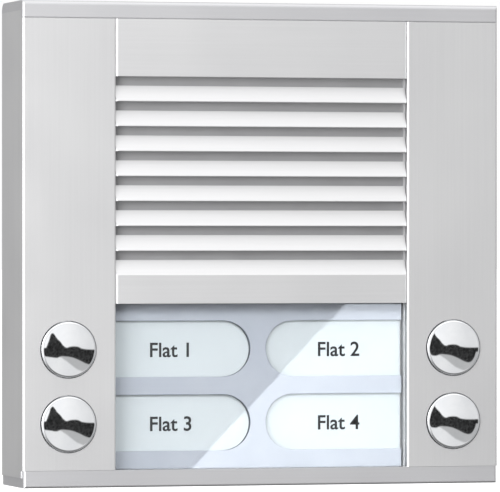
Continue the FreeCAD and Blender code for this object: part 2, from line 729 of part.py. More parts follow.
def button_spring(x, z):
    """The coil spring between the button's flange and the carrier."""
    start = FRONT + WALL + FLANGE_T + SPRING_WIRE + SPRING_SEAT
    length = CARRIER_BASE - SPRING_WIRE - SPRING_SEAT - start
    helix = Part.makeHelix(length / SPRING_TURNS, length, SPRING_R)
    section = Part.Wire([Part.makeCircle(SPRING_WIRE, Vector(SPRING_R, 0, 0), Vector(0, 1, 0))])
    coil = Part.Wire(helix).makePipeShell([section], True, True)
    coil.rotate(Vector(0, 0, 0), Vector(0, 0, 1), SPRING_START[BUTTON_Z.index(z)])
    coil.rotate(Vector(0, 0, 0), Vector(1, 0, 0), -90)
    coil.translate(Vector(x, start, z))
    return coil


def switch_bodies():
    """The sealed switch on the board behind each button."""
    half = SWITCH_SIZE / 2
    bodies = []
    for x, z in button_places():
        body = box(x - half, x + half, PCB_FRONT - SWITCH_T, PCB_FRONT, z - half, z + half)
        bodies.append(cut(body, [rod(x, z, PLUNGER_R + PLUNGER_GAP, PCB_FRONT - SWITCH_T - 1,
                                     PCB_FRONT - 0.6)]))
    return bodies


def switch_plunger(x, z):
    """The plunger of one switch, which the button's stem pushes."""
    return rod(x, z, PLUNGER_R, STEM_END, PCB_FRONT - 2.1)


# ---------------------------------------------------------------- boards

def board_screw_places():
    """Where the board is screwed to the button carriers."""
    return [(sx * x, BOARD_SCREW_Z) for x in BOARD_SCREW_X for sx in (-1, 1)]


def standoff_places():
    """The two posts under the board's top edge."""
    return [(sx * STANDOFF_X, STANDOFF_Z) for sx in (-1, 1)]


def main_pcb():
    """The main circuit board, behind the name lighting and the switches."""
    board = box(-PCB_HALF, PCB_HALF, PCB_FRONT, PCB_BACK, PCB_BOTTOM, PCB_TOP)
    places = board_screw_places() + standoff_places()
    return cut(board, [rod(x, z, CLEARANCE_R, PCB_FRONT - 1, PCB_BACK + 1) for x, z in places])


def pcb_standoffs():
    """Two hexagonal posts from the web to the board's top edge."""
    posts = []
    for x, z in standoff_places():
        corners = []
        for i in range(6):
            turn = math.radians(60 * i)
            corners.append(Vector(x + STANDOFF_R * math.cos(turn), WEB_BACK,
                                  z + STANDOFF_R * math.sin(turn)))
        body = prism(corners, Vector(0, PCB_FRONT - WEB_BACK, 0))
        stud = rod(x, z, THREAD_R, WEB_FRONT + SCREW_TIP, WEB_BACK + 0.1)
        thread = rod(x, z, BOARD_PILOT_R, BOARD_SCREW_TIP - 0.2, PCB_FRONT + 1)
        posts.append(cut(fuse([body, stud]), [thread]))
    return posts


def pcb_screws():
    """The screws that hold the board to the carriers and the posts."""
    return [pan_screw(x, z, 2.0, 1.0, PCB_BACK, 1.3, BOARD_SCREW_TIP)
            for x, z in board_screw_places() + standoff_places()]


def terminal_x():
    """Where each pole of the terminal block lies."""
    start = -TERMINAL_PITCH * (TERMINAL_POLES - 1) / 2
    return [start + TERMINAL_PITCH * i for i in range(TERMINAL_POLES)]


def terminal_block():
    """Six terminals for the wires from the house, reached from behind."""
    half = TERMINAL_PITCH * TERMINAL_POLES / 2
    block = box(-half, half, PCB_BACK, PCB_BACK + TERMINAL_T, TERMINAL_Z[0], TERMINAL_Z[1])
    tools = []
    for x in terminal_x():
        tools.append(box(x - 1.5, x + 1.5, PCB_BACK + 1.2, PCB_BACK + 4.0,
                         TERMINAL_Z[1] - 6.0, TERMINAL_Z[1] + 1))
        tools.append(rod(x, TERMINAL_SCREW_Z, 1.6, PCB_BACK + 3.9, PCB_BACK + TERMINAL_T + 1))
    return cut(block, tools)


def terminal_screws():
    """The clamping screw of each terminal."""
    y = PCB_BACK + 4.0
    screws = []
    z = TERMINAL_SCREW_Z
    for x in terminal_x():
        screw = rod(x, z, 1.5, y, y + 1.8)
        screws.append(cut(screw, [box(x - 2, x + 2, y + 1.1, y + 3, z - 0.3, z + 0.3)]))
    return screws


def amplifier_chip():
    """The speech amplifier, flat on the back of the board with its row of legs."""
    x = CHIP_X
    z = CHIP_Z
    body = box(x - 5, x + 5, PCB_BACK + 0.15, PCB_BACK + 1.8, z - 3.8, z + 3.8)
    start = x - CHIP_LEG_PITCH * (CHIP_LEGS - 1) / 2
    legs = []
    for i in range(CHIP_LEGS):
        at = start + CHIP_LEG_PITCH * i
        legs.append(box(at - 0.2, at + 0.2, PCB_BACK, PCB_BACK + 0.6, z - 5.2, z + 5.2))
    return fuse([body] + legs)


def capacitors():
    """Three upright electrolytic capacitors."""
    top = PCB_BACK + CAPACITOR_T
    cans = []
    for x, z, radius in CAPACITORS:
        can = rod(x, z, radius, PCB_BACK, top)
        rim = edges_where_round(can, top)
        cans.append(can.makeFillet(0.4, rim))
    return cans


def edges_where_round(shape, y):
    """The round edges that lie at one depth."""
    return [e for e in shape.Edges if len(e.Vertexes) == 1 and near(e.CenterOfMass.y, y)]


def trimmer_bodies():
    """The two volume presets on the back of the board."""
    bodies = []
    for x, z in TRIMMERS:
        body = box(x - TRIMMER_HALF, x + TRIMMER_HALF, PCB_BACK, PCB_BACK + TRIMMER_T,
                   z - TRIMMER_HALF, z + TRIMMER_HALF)
        well = rod(x, z, TRIMMER_R + 0.08, PCB_BACK + TRIMMER_FLOOR, PCB_BACK + TRIMMER_T + 1)
        bodies.append(cut(body, [well]))
    return bodies


def trimmer_rotor(x, z):
    """The slotted part of a preset that a screwdriver turns."""
    y = PCB_BACK + TRIMMER_FLOOR
    rotor = rod(x, z, TRIMMER_R, y, y + 2.5)
    return cut(rotor, [box(x - 0.3, x + 0.3, y + 1.5, y + 4, z - 3, z + 3)])


# ---------------------------------------------------------------- leads

def lead(x, y0, z0, y_back, z1, y1):
    """A wire that runs back from y0, down behind the parts, and forward to y1."""
    bend = LEAD_BEND
    nook = bend * (1 - math.sqrt(0.5))
    start = Vector(x, y0, z0)
    upper = [Vector(x, y_back - bend, z0), Vector(x, y_back - nook, z0 - nook),
             Vector(x, y_back, z0 - bend)]
    lower = [Vector(x, y_back, z1 + bend), Vector(x, y_back - nook, z1 + nook),
             Vector(x, y_back - bend, z1)]
    edges = [Part.LineSegment(start, upper[0]).toShape(), Part.Arc(*upper).toShape(),
             Part.LineSegment(upper[2], lower[0]).toShape(), Part.Arc(*lower).toShape(),
             Part.LineSegment(lower[2], Vector(x, y1, z1)).toShape()]
    section = Part.Wire([Part.makeCircle(LEAD_R, start, Vector(0, 1, 0))])
    return Part.Wire(edges).makePipeShell([section], True, False)


def speaker_leads():
    """Two wires from the loudspeaker's tags to the top edge of the board."""
    return [lead(s * LEAD_SPREAD, SPEAKER_TAG_Y, SPEAKER_TAG_Z, -7.4, PCB_TOP - 3, PCB_BACK)
            for s in (-1, 1)]


def microphone_leads():
    """Two wires from the microphone to the board."""
    start = WEB_BACK + 7.6
    return [lead(MICROPHONE_X + s * LEAD_SPREAD, start, MICROPHONE_Z, -6.2, PCB_TOP - 4, PCB_BACK)
            for s in (-1, 1)]


def led_pins():
    """Two pins from the lamp board through the tray to the main board."""
    return [rod(s * LEAD_SPREAD, PIN_Z, PIN_R, TRAY_FLOOR, PCB_FRONT) for s in (-1, 1)]


# ---------------------------------------------------------------- wall plate

def wall_slot(x, z):
    """A slot that runs sideways, for a wall screw."""
    reach = SLOT_LENGTH / 2 - SLOT_R
    ends = [rod(x + s * reach, z, SLOT_R, PLATE_FRONT - 1, 1) for s in (-1, 1)]
    return fuse(ends + [box(x - reach, x + reach, PLATE_FRONT - 1, 1, z - SLOT_R, z + SLOT_R)])


def back_plate():
    """The plate on the wall: slots, cable hole, seal rebate, hooks and locking tab."""
    plate = box(-PLATE_X, PLATE_X, PLATE_FRONT, 0, -PLATE_HALF_Z, PLATE_HALF_Z)
    rebate = box(-HALF_W, HALF_W, -SEAL_T, 1, -HALF_H, HALF_H)
    island = box(-PLATE_X + SEAL_WIDTH, PLATE_X - SEAL_WIDTH, -SEAL_T - 1, 2,
                 -PLATE_HALF_Z + SEAL_WIDTH, PLATE_HALF_Z - SEAL_WIDTH)
    tools = [cut(rebate, [island])]
    tools += [wall_slot(sx * SLOT_X, sz * SLOT_Z) for sz in (-1, 1) for sx in (-1, 1)]
    tools.append(rod(0, CABLE_Z, GROMMET_HOLE_R, PLATE_FRONT - 1, 1))
    for x0, x1, z0, z1 in POCKETS:
        tools += pair(pocket(x0, x1, z0, z1))
    tools.append(prism([Vector(-ARROW_HALF, -0.3, ARROW_Z[0]), Vector(ARROW_HALF, -0.3, ARROW_Z[0]),
                        Vector(0, -0.3, ARROW_Z[1])], Vector(0, 1, 0)))
    hook = fuse([box(HOOK_X[0], HOOK_X[1], -8.2, PLATE_FRONT, 60.0, 61.6),
                 box(HOOK_X[0], HOOK_X[1], -8.2, -6.8, 60.0, 63.6)])
    tab = box(-7, 7, -10.5, PLATE_FRONT, -63.9, -61.4)
    thread = post(0, PORT_Y, LOCK_HOLE_R - 0.2, -HALF_H, LOCK_TIP + 0.6)
    return cut(fuse([plate, tab] + pair(hook)), tools + [thread])


def pocket(x0, x1, z0, z1):
    """A shallow hollow with rounded corners in the plate's wall side."""
    block = box(x0, x1, -POCKET_DEPTH, 1, z0, z1)
    upright = [e for e in block.Edges if near(abs(e.tangentAt(e.FirstParameter).y), 1)]
    return block.makeFillet(POCKET_CORNER, upright)


def wall_seal():
    """The foam ring in the plate's rebate."""
    half_x = PLATE_X - SEAL_WIDTH
    half_z = PLATE_HALF_Z - SEAL_WIDTH
    outer = box(-PLATE_X, PLATE_X, -SEAL_T, 0, -PLATE_HALF_Z, PLATE_HALF_Z)
    return cut(outer, [box(-half_x, half_x, -SEAL_T - 1, 1, -half_z, half_z)])


def cable_grommet():
    """The rubber sleeve that the cable comes in through."""
    neck = GROMMET_HOLE_R - 0.05
    return turned(0, CABLE_Z, [(CABLE_R, -5.0), (neck + 2, -4.6), (neck + 2, PLATE_FRONT),
                               (neck, PLATE_FRONT), (neck, -0.2), (CABLE_R, -0.2)])


# ---------------------------------------------------------------- output

def save(name, solids):
    """Write one node: a single solid, or a group of separate ones."""
    shape = solids if not isinstance(solids, list) else Part.Compound(solids)
    count = len(shape.Solids)
    wanted = len(solids) if isinstance(solids, list) else 1
    if count != wanted or not shape.isValid():
        print("CHECK", name, "solids", count, "wanted", wanted, "valid", shape.isValid())
    shape.exportStep(os.path.join("parts", name + ".step"))


def main():
    os.makedirs("parts", exist_ok=True)
    nodes = [front_profile, top_cap, bottom_cap, cap_screws, lock_screw,
             louvre_grille, grille_mesh, window_pane, label_mask,
             light_diffuser, light_tray, led_board, leds, tray_screws,
             speaker_gasket, speaker_basket, speaker_magnet, voice_coil, speaker_surround,
             speaker_cone, speaker_dust_cap, speaker_screws, microphone_boot, microphone_capsule,
             carrier_screws, switch_bodies, main_pcb, pcb_standoffs, pcb_screws,
             speaker_leads, microphone_leads, led_pins,
             terminal_block, terminal_screws, amplifier_chip, capacitors, trimmer_bodies,
             back_plate, wall_seal, cable_grommet]
    for node in nodes:
        save(node.__name__, node())
    save("button_carrier_left", button_carrier(-1))
    save("button_carrier_right", button_carrier(1))
    save("speaker_volume_rotor", trimmer_rotor(*TRIMMERS[0]))
    save("microphone_volume_rotor", trimmer_rotor(*TRIMMERS[1]))
    for number, (x, z) in enumerate(button_places(), start=1):
        side = 1 if x > 0 else -1
        save("name_card_%d" % number, name_card(side, z))
        save("button_cap_%d" % number, button_cap(x, z))
        save("button_spring_%d" % number, button_spring(x, z))
        save("switch_plunger_%d" % number, switch_plunger(x, z))


main()
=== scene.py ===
"""Looks of the door intercom panel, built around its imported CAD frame. Metres, Z up."""

import bmesh
import bpy
import json
import math
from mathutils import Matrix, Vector


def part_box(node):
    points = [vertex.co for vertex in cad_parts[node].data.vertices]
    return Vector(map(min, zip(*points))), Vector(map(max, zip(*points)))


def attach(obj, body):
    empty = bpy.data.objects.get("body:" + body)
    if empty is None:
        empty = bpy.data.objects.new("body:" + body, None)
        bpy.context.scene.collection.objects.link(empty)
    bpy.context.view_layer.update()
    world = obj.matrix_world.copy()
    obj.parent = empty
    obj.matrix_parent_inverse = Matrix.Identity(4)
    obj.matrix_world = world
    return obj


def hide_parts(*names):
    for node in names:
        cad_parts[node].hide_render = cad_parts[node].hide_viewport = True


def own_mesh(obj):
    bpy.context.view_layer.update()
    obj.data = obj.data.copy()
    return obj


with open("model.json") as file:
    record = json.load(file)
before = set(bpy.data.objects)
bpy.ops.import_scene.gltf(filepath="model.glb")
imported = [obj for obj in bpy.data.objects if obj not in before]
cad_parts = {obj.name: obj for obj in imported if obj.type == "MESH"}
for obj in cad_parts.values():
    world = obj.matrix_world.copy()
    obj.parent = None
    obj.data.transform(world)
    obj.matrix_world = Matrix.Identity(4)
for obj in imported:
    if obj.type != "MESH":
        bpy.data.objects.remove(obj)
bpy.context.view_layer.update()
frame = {"nodes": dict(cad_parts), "record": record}
nodes = frame["nodes"]

MM = 0.001
SCENE = bpy.context.scene

# ---- the whole object, from its CAD box ----
FRONT_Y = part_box("front_profile")[0].y
FLOOR_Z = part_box("bottom_cap")[0].z

# ---- camera ----
CAMERA_YAW = math.radians(15.65)
CAMERA_DISTANCE = 1.480
CAMERA_OFFSET = 0.00357
CAMERA_FOCUS = 383.8            # millimetres, on a 36 mm wide sensor
CAMERA_RISE = -0.0036


# ================================================================ shader helpers

def start_material(name):
    """A new node material: the material, its tree and its Principled node."""
    material = bpy.data.materials.new(name)
    material.use_nodes = True
    tree = material.node_tree
    return material, tree, tree.nodes["Principled BSDF"]


def add(tree, kind, inputs=None, **settings):
    """A node with some settings and unlinked input values."""
    node = tree.nodes.new(kind)
    for key, value in settings.items():
        setattr(node, key, value)
    for key, value in (inputs or {}).items():
        if isinstance(value, bpy.types.NodeSocket):
            tree.links.new(value, node.inputs[key])
        else:
            node.inputs[key].default_value = value
    return node


def place(tree, scale=(1, 1, 1)):
    """Object coordinates in metres, times a scale along each axis."""
    coordinates = add(tree, "ShaderNodeTexCoord")
    mapping = add(tree, "ShaderNodeMapping", {"Vector": coordinates.outputs["Object"], "Scale": scale})
    return mapping.outputs["Vector"]


def noise(tree, grain, stretch=(1, 1, 1), detail=3.0, rough=0.55):
    """Noise with features of about grain metres, drawn out where stretch is small."""
    scale = tuple(s / grain for s in stretch)
    node = add(tree, "ShaderNodeTexNoise", {"Vector": place(tree, scale), "Scale": 1.0,
                                            "Detail": detail, "Roughness": rough})
    return node.outputs["Fac"]


def spread(tree, value, low, high, start=0.3, stop=0.7):
    """A 0 to 1 value mapped to a range."""
    node = add(tree, "ShaderNodeMapRange", {"Value": value, "From Min": start, "From Max": stop,
                                            "To Min": low, "To Max": high})
    return node.outputs["Result"]


def tint(tree, value, dark, light, start=0.3, stop=0.7):
    """A colour between two, by a value."""
    ramp = add(tree, "ShaderNodeValToRGB", {"Fac": value})
    ramp.color_ramp.elements[0].position = start
    ramp.color_ramp.elements[1].position = stop
    ramp.color_ramp.elements[0].color = (*dark, 1)
    ramp.color_ramp.elements[1].color = (*light, 1)
    return ramp.outputs["Color"]


def mix(tree, share, first, second, mode="MIX"):
    """Two colours mixed, multiplied and so on."""
    node = add(tree, "ShaderNodeMix", data_type="RGBA", blend_type=mode)
    for socket, value in ((node.inputs[0], share), (node.inputs[6], first), (node.inputs[7], second)):
        if isinstance(value, bpy.types.NodeSocket):
            tree.links.new(value, socket)
        else:
            socket.default_value = value if not isinstance(value, tuple) else (*value, 1)
    return node.outputs[2]


def math_node(tree, operation, first, second=0.0):
    """The result of one sum or other operation on two values."""
    node = add(tree, "ShaderNodeMath", {0: first, 1: second}, operation=operation)
    return node.outputs[0]


def relief(tree, shader, height, depth, strength=0.5, under=None):
    """Bump of a real depth in metres."""
    bump = add(tree, "ShaderNodeBump", {"Height": height, "Distance": depth, "Strength": strength})
    if under is not None:
        tree.links.new(under, bump.inputs["Normal"])
    tree.links.new(bump.outputs["Normal"], shader.inputs["Normal"])
    return bump.outputs["Normal"]


def shade(colour, amount):
    """A colour made lighter or darker."""
    return tuple(max(0.0, min(1.0, c * amount)) for c in colour)


# ================================================================ materials

# The side walls of the centre channel, in millimetres. Their colour is painted shade and reflection: a
# darker grey that stands as dark as what they mirror.
WALL_X = 42.0
WALL_REACH = 0.06
WALL_SETBACK = 0.5
WALL_PAINTED_SHADE = (0.30, 0.30, 0.305)


def painted_wall_shade(tree):
    """Where the painted shade goes: 1 on the side walls of the centre channel and 0 elsewhere."""
    split = add(tree, "ShaderNodeSeparateXYZ", {0: place(tree, (1 / MM, 1 / MM, 1 / MM))})
    off = math_node(tree, "ABSOLUTE", split.outputs["X"])
    off = math_node(tree, "ABSOLUTE", math_node(tree, "SUBTRACT", off, WALL_X))
    beside = math_node(tree, "LESS_THAN", off, WALL_REACH)
    behind = math_node(tree, "GREATER_THAN", split.outputs["Y"], FRONT_Y / MM + WALL_SETBACK)
    return math_node(tree, "MULTIPLY", beside, behind)


def anodised(name, colour, along, roughness=0.42):
    """Matt anodised aluminium: drawn lines along one axis, and a fine etched grain; drawn along Z, it also
    gets painted shade on the channel's side walls.
    """
    material, tree, shader = start_material(name)
    stretch = [1.0, 1.0, 1.0]
    stretch["XYZ".index(along)] = 0.012
    lines = noise(tree, 0.0006, stretch, 3.0, 0.6)
    cloud = noise(tree, 0.035, (1, 1, 1), 2.0)
    grain = noise(tree, 0.00022, (1, 1, 1), 2.0)
    base = tint(tree, lines, shade(colour, 0.985), shade(colour, 1.012))
    clouds = tint(tree, cloud, (0.985, 0.985, 0.99), (1.0, 1.0, 1.0))
    base = mix(tree, 1.0, base, clouds, "MULTIPLY")
    if along == "Z":
        # Painted shade: the channel's side walls are coloured darker to stand in for the dark they mirror
        # and the shade in the channel.
        base = mix(tree, painted_wall_shade(tree), base, WALL_PAINTED_SHADE)
    tree.links.new(base, shader.inputs["Base Color"])
    shader.inputs["Metallic"].default_value = 0.85
    tree.links.new(spread(tree, cloud, roughness - 0.02, roughness + 0.03), shader.inputs["Roughness"])
    etched = relief(tree, shader, grain, 0.00001, 0.35)
    relief(tree, shader, lines, 0.000006, 0.25, etched)
    return material


def chromed(name="chrome"):
    """Polished chrome with a trace of fine wear."""
    material, tree, shader = start_material(name)
    wear = noise(tree, 0.0004, (1, 1, 1), 4.0, 0.7)
    haze = noise(tree, 0.004, (1, 1, 1), 2.0)
    base = tint(tree, haze, (0.83, 0.845, 0.867), (0.88, 0.892, 0.908))
    tree.links.new(base, shader.inputs["Base Color"])
    shader.inputs["Metallic"].default_value = 1.0
    tree.links.new(spread(tree, wear, 0.025, 0.055), shader.inputs["Roughness"])
    return material


def clear_pane(name="clear_plastic"):
    """Clear plastic that lets lamps through to what is behind it."""
    material, tree, shader = start_material(name)
    smear = noise(tree, 0.02, (1, 1, 0.6), 3.0)
    base = tint(tree, smear, (0.965, 0.98, 0.985), (0.98, 0.99, 0.995))
    tree.links.new(base, shader.inputs["Base Color"])
    tree.links.new(spread(tree, smear, 0.008, 0.02), shader.inputs["Roughness"])
    shader.inputs["Transmission Weight"].default_value = 1.0
    shader.inputs["IOR"].default_value = 1.49
    path = add(tree, "ShaderNodeLightPath")
    clear = add(tree, "ShaderNodeBsdfTransparent", {"Color": (0.95, 0.97, 0.98, 1)})
    both = add(tree, "ShaderNodeMixShader", {0: path.outputs["Is Shadow Ray"],
                                             1: shader.outputs[0], 2: clear.outputs[0]})
    tree.links.new(both.outputs[0], tree.nodes["Material Output"].inputs["Surface"])
    return material


def plastic(name, colour, roughness=0.5, grain=0.0006, depth=0.00003, contrast=0.05, metallic=0.0):
    """A moulded surface: faint mottling, a spark-eroded texture and uneven gloss."""
    material, tree, shader = start_material(name)
    mottle = noise(tree, grain * 18, (1, 1, 1), 3.0)
    texture = noise(tree, grain, (1, 1, 1), 2.0)
    tree.links.new(tint(tree, mottle, shade(colour, 1 - contrast), shade(colour, 1 + contrast)),
                   shader.inputs["Base Color"])
    tree.links.new(spread(tree, texture, roughness - 0.05, roughness + 0.06), shader.inputs["Roughness"])
    shader.inputs["Metallic"].default_value = metallic
    relief(tree, shader, texture, depth, 0.4)
    return material


def drawn_metal(name, colour, roughness=0.34, along="Z", streak=0.0003, contrast=0.10):
    """Plated or drawn metal with short lines and patches of duller finish."""
    material, tree, shader = start_material(name)
    stretch = [1.0, 1.0, 1.0]
    stretch["XYZ".index(along)] = 0.08
    lines = noise(tree, streak, stretch, 4.0, 0.65)
    patch = noise(tree, 0.006, (1, 1, 1), 3.0)
    base = tint(tree, lines, shade(colour, 1 - contrast), shade(colour, 1 + contrast * 0.5))
    base = mix(tree, 1.0, base, tint(tree, patch, (0.93, 0.93, 0.94), (1.0, 1.0, 1.0)), "MULTIPLY")
    tree.links.new(base, shader.inputs["Base Color"])
    shader.inputs["Metallic"].default_value = 1.0
    tree.links.new(spread(tree, patch, roughness - 0.06, roughness + 0.08), shader.inputs["Roughness"])
    relief(tree, shader, lines, 0.00001, 0.3)
    return material


def woven_mesh(name="mesh"):
    """A fine plain weave of steel wire."""
    material, tree, shader = start_material(name)
    pitch = 0.0005
    across = place(tree, (2 * math.pi / pitch,) * 3)
    split = add(tree, "ShaderNodeSeparateXYZ", {0: across})
    warp = math_node(tree, "SINE", split.outputs["X"])
    weft = math_node(tree, "SINE", split.outputs["Z"])
    weave = spread(tree, math_node(tree, "MULTIPLY", warp, weft), 0.0, 1.0, -1.0, 1.0)
    patch = noise(tree, 0.01, (1, 1, 1), 2.0)
    base = tint(tree, weave, (0.16, 0.16, 0.165), (0.52, 0.52, 0.53), 0.15, 0.85)
    base = mix(tree, 1.0, base, tint(tree, patch, (0.92, 0.92, 0.92), (1.0, 1.0, 1.0)), "MULTIPLY")
    tree.links.new(base, shader.inputs["Base Color"])
    shader.inputs["Metallic"].default_value = 0.6
    tree.links.new(spread(tree, patch, 0.45, 0.55), shader.inputs["Roughness"])
    relief(tree, shader, weave, 0.00008, 0.6)
    return material


def tinted_mask(name="tinted_mask"):
    """The translucent blue-grey mask round the names."""
    material, tree, shader = start_material(name)
    cloud = noise(tree, 0.012, (1, 1, 1), 3.0)
    fine = noise(tree, 0.0004, (1, 1, 1), 2.0)
    base = tint(tree, cloud, (0.33, 0.347, 0.39), (0.355, 0.37, 0.41))
    tree.links.new(base, shader.inputs["Base Color"])
    tree.links.new(spread(tree, fine, 0.32, 0.42), shader.inputs["Roughness"])
    relief(tree, shader, fine, 0.00002, 0.3)
    return material


def card(name="card"):
    """Printing card with a fibre grain, grey enough for its strong lamps, and a painted glow: a faint
    emission that lifts it evenly as if lit from behind.
    """
    material, tree, shader = start_material(name)
    fibre = noise(tree, 0.0005, (1, 1, 0.4), 4.0, 0.7)
    cloud = noise(tree, 0.02, (1, 1, 1), 2.0)
    paper = tint(tree, fibre, (0.41, 0.435, 0.45), (0.43, 0.455, 0.47))
    tree.links.new(paper, shader.inputs["Base Color"])
    # Painted light: the card glows faintly of itself, lifting the parts that the channel walls shade.
    shader.inputs["Emission Color"].default_value = (0.90, 0.965, 1.0, 1)
    shader.inputs["Emission Strength"].default_value = 0.10
    tree.links.new(spread(tree, cloud, 0.7, 0.8), shader.inputs["Roughness"])
    relief(tree, shader, fibre, 0.00002, 0.35)
    return material


def circuit_board(name="circuit_board"):
    """Green solder mask with tracks that show through as raised lighter lines."""
    material, tree, shader = start_material(name)
    turn = add(tree, "ShaderNodeMapping", {"Vector": place(tree), "Rotation": (math.radians(90), 0, 0)})
    tracks = add(tree, "ShaderNodeTexBrick", {"Vector": turn.outputs["Vector"], "Scale": 160.0,
                                              "Mortar Size": 0.06, "Color1": (0, 0, 0, 1),
                                              "Color2": (0, 0, 0, 1), "Mortar": (1, 1, 1, 1)})
    cloud = noise(tree, 0.008, (1, 1, 1), 3.0)
    mask = tint(tree, cloud, (0.018, 0.14, 0.06), (0.03, 0.19, 0.08))
    base = mix(tree, tracks.outputs["Color"], mask, (0.06, 0.30, 0.13))
    tree.links.new(base, shader.inputs["Base Color"])
    tree.links.new(spread(tree, cloud, 0.28, 0.4), shader.inputs["Roughness"])
    relief(tree, shader, tracks.outputs["Color"], 0.00003, 0.5)
    return material


SILVER = (0.735, 0.735, 0.74)

MATERIALS = {
    "anodised_aluminium": anodised("anodised_vertical", SILVER, "Z"),
    "cap_aluminium": anodised("anodised_cap", (0.655, 0.655, 0.67), "X"),
    "chrome": chromed(),
    "clear_plastic": clear_pane(),
    "tinted_mask": tinted_mask(),
    "card": card(),
    "opal_plastic": plastic("opal_plastic", (0.88, 0.90, 0.91), 0.45, 0.0004, 0.00001, 0.02),
    "white_plastic": plastic("white_plastic", (0.84, 0.84, 0.82), 0.5, 0.0006, 0.00003, 0.03),
    "grey_plastic": plastic("grey_plastic", (0.14, 0.145, 0.15), 0.55, 0.0007, 0.00006, 0.10),
    "black_plastic": plastic("black_plastic", (0.025, 0.025, 0.027), 0.45, 0.0005, 0.00004, 0.15),
    "green_plastic": plastic("green_plastic", (0.03, 0.28, 0.12), 0.42, 0.0005, 0.00003, 0.08),
    "blue_plastic": plastic("blue_plastic", (0.03, 0.11, 0.38), 0.4, 0.0005, 0.00002, 0.08),
    "circuit_board": circuit_board(),
    "lamp": plastic("lamp", (0.92, 0.86, 0.55), 0.2, 0.0004, 0.00001, 0.04),
    "steel": drawn_metal("plated_steel", (0.62, 0.62, 0.61), 0.34),
    "stainless": drawn_metal("stainless", (0.66, 0.66, 0.67), 0.28),
    "spring_steel": drawn_metal("spring_steel", (0.50, 0.50, 0.51), 0.26, "Z", 0.0002),
    "mesh": woven_mesh(),
    "ferrite": plastic("ferrite", (0.05, 0.05, 0.053), 0.6, 0.0003, 0.00004, 0.2),
    "paper_cone": plastic("paper_cone", (0.03, 0.03, 0.031), 0.85, 0.0005, 0.00008, 0.25),
    "copper": drawn_metal("copper", (0.72, 0.38, 0.22), 0.3, "Y", 0.0002),
    "brass": drawn_metal("brass", (0.80, 0.62, 0.30), 0.28, "Y", 0.0002),
    "rubber": plastic("rubber", (0.028, 0.028, 0.029), 0.72, 0.0004, 0.00005, 0.2),
    "foam": plastic("foam", (0.045, 0.045, 0.047), 0.9, 0.0005, 0.0002, 0.3),
    "capsule_metal": drawn_metal("capsule_metal", (0.70, 0.70, 0.71), 0.35, "Y", 0.0002),
    "capacitor_sleeve": plastic("capacitor_sleeve", (0.015, 0.02, 0.06), 0.3, 0.0005, 0.00001, 0.1),
    "wire_sleeve": plastic("wire_sleeve", (0.42, 0.02, 0.02), 0.4, 0.0004, 0.00001, 0.08),
}
HORIZONTAL = anodised("anodised_horizontal", shade(SILVER, 1.035), "X")

for entry in frame["record"]["subparts"]:
    piece = nodes[entry["node"]]
    piece.data.materials.clear()
    piece.data.materials.append(MATERIALS[entry["material_slot"]])
nodes["louvre_grille"].data.materials[0] = HORIZONTAL


# ================================================================ names on the cards

INK = plastic("printed_ink", (0.012, 0.012, 0.013), 0.6, 0.0003, 0.000005, 0.2)
CAP_HEIGHT = 3.95 * MM
STROKE_GAIN = 0.085 * MM
CAP_SHARE = 0.70            # height of a capital in the built-in typeface, as a share of its size
INK_THICKNESS = 0.01 * MM
INK_STAND_OFF = 0.012 * MM
NAME_X = {-1: -24.9 * MM, 1: 23.6 * MM}
NAME_DROP = 0.55 * MM


def printed_name(number):
    """Generic lettering, a hair proud of its card."""
    low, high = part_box("name_card_%d" % number)
    side = 1 if low.x + high.x > 0 else -1
    curve = bpy.data.curves.new("printed_name_%d" % number, "FONT")
    curve.body = "Flat %d" % number
    curve.size = CAP_HEIGHT / CAP_SHARE
    curve.align_x = "CENTER"
    curve.align_y = "CENTER"
    curve.extrude = INK_THICKNESS
    curve.offset = STROKE_GAIN
    text = bpy.data.objects.new("printed_name_%d" % number, curve)
    SCENE.collection.objects.link(text)
    text.location = (NAME_X[side], low.y - INK_STAND_OFF, (low.z + high.z) / 2 - NAME_DROP)
    text.rotation_euler = (math.radians(90), 0, 0)
    curve.materials.append(INK)
    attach(text, "housing")


for n in range(1, 5):
    printed_name(n)


# ================================================================ painted shade along the edges of the name openings

LABEL_RADIUS = 7.8 * MM
LABEL_INNER = 2.2 * MM
# Painted shade: a near-black strip stands where the cut edges of the mask fall in shade.
EDGE_SHADE = plastic("mask_edge_shade", (0.045, 0.05, 0.06), 0.5, 0.0003, 0.000005, 0.2)


OPENING_END = 41.6 * MM        # where an opening runs in behind the channel wall
OPENING_RUN = 8 * MM
EDGE_STEPS = 36
EDGE_OVERLAP = 0.02 * MM


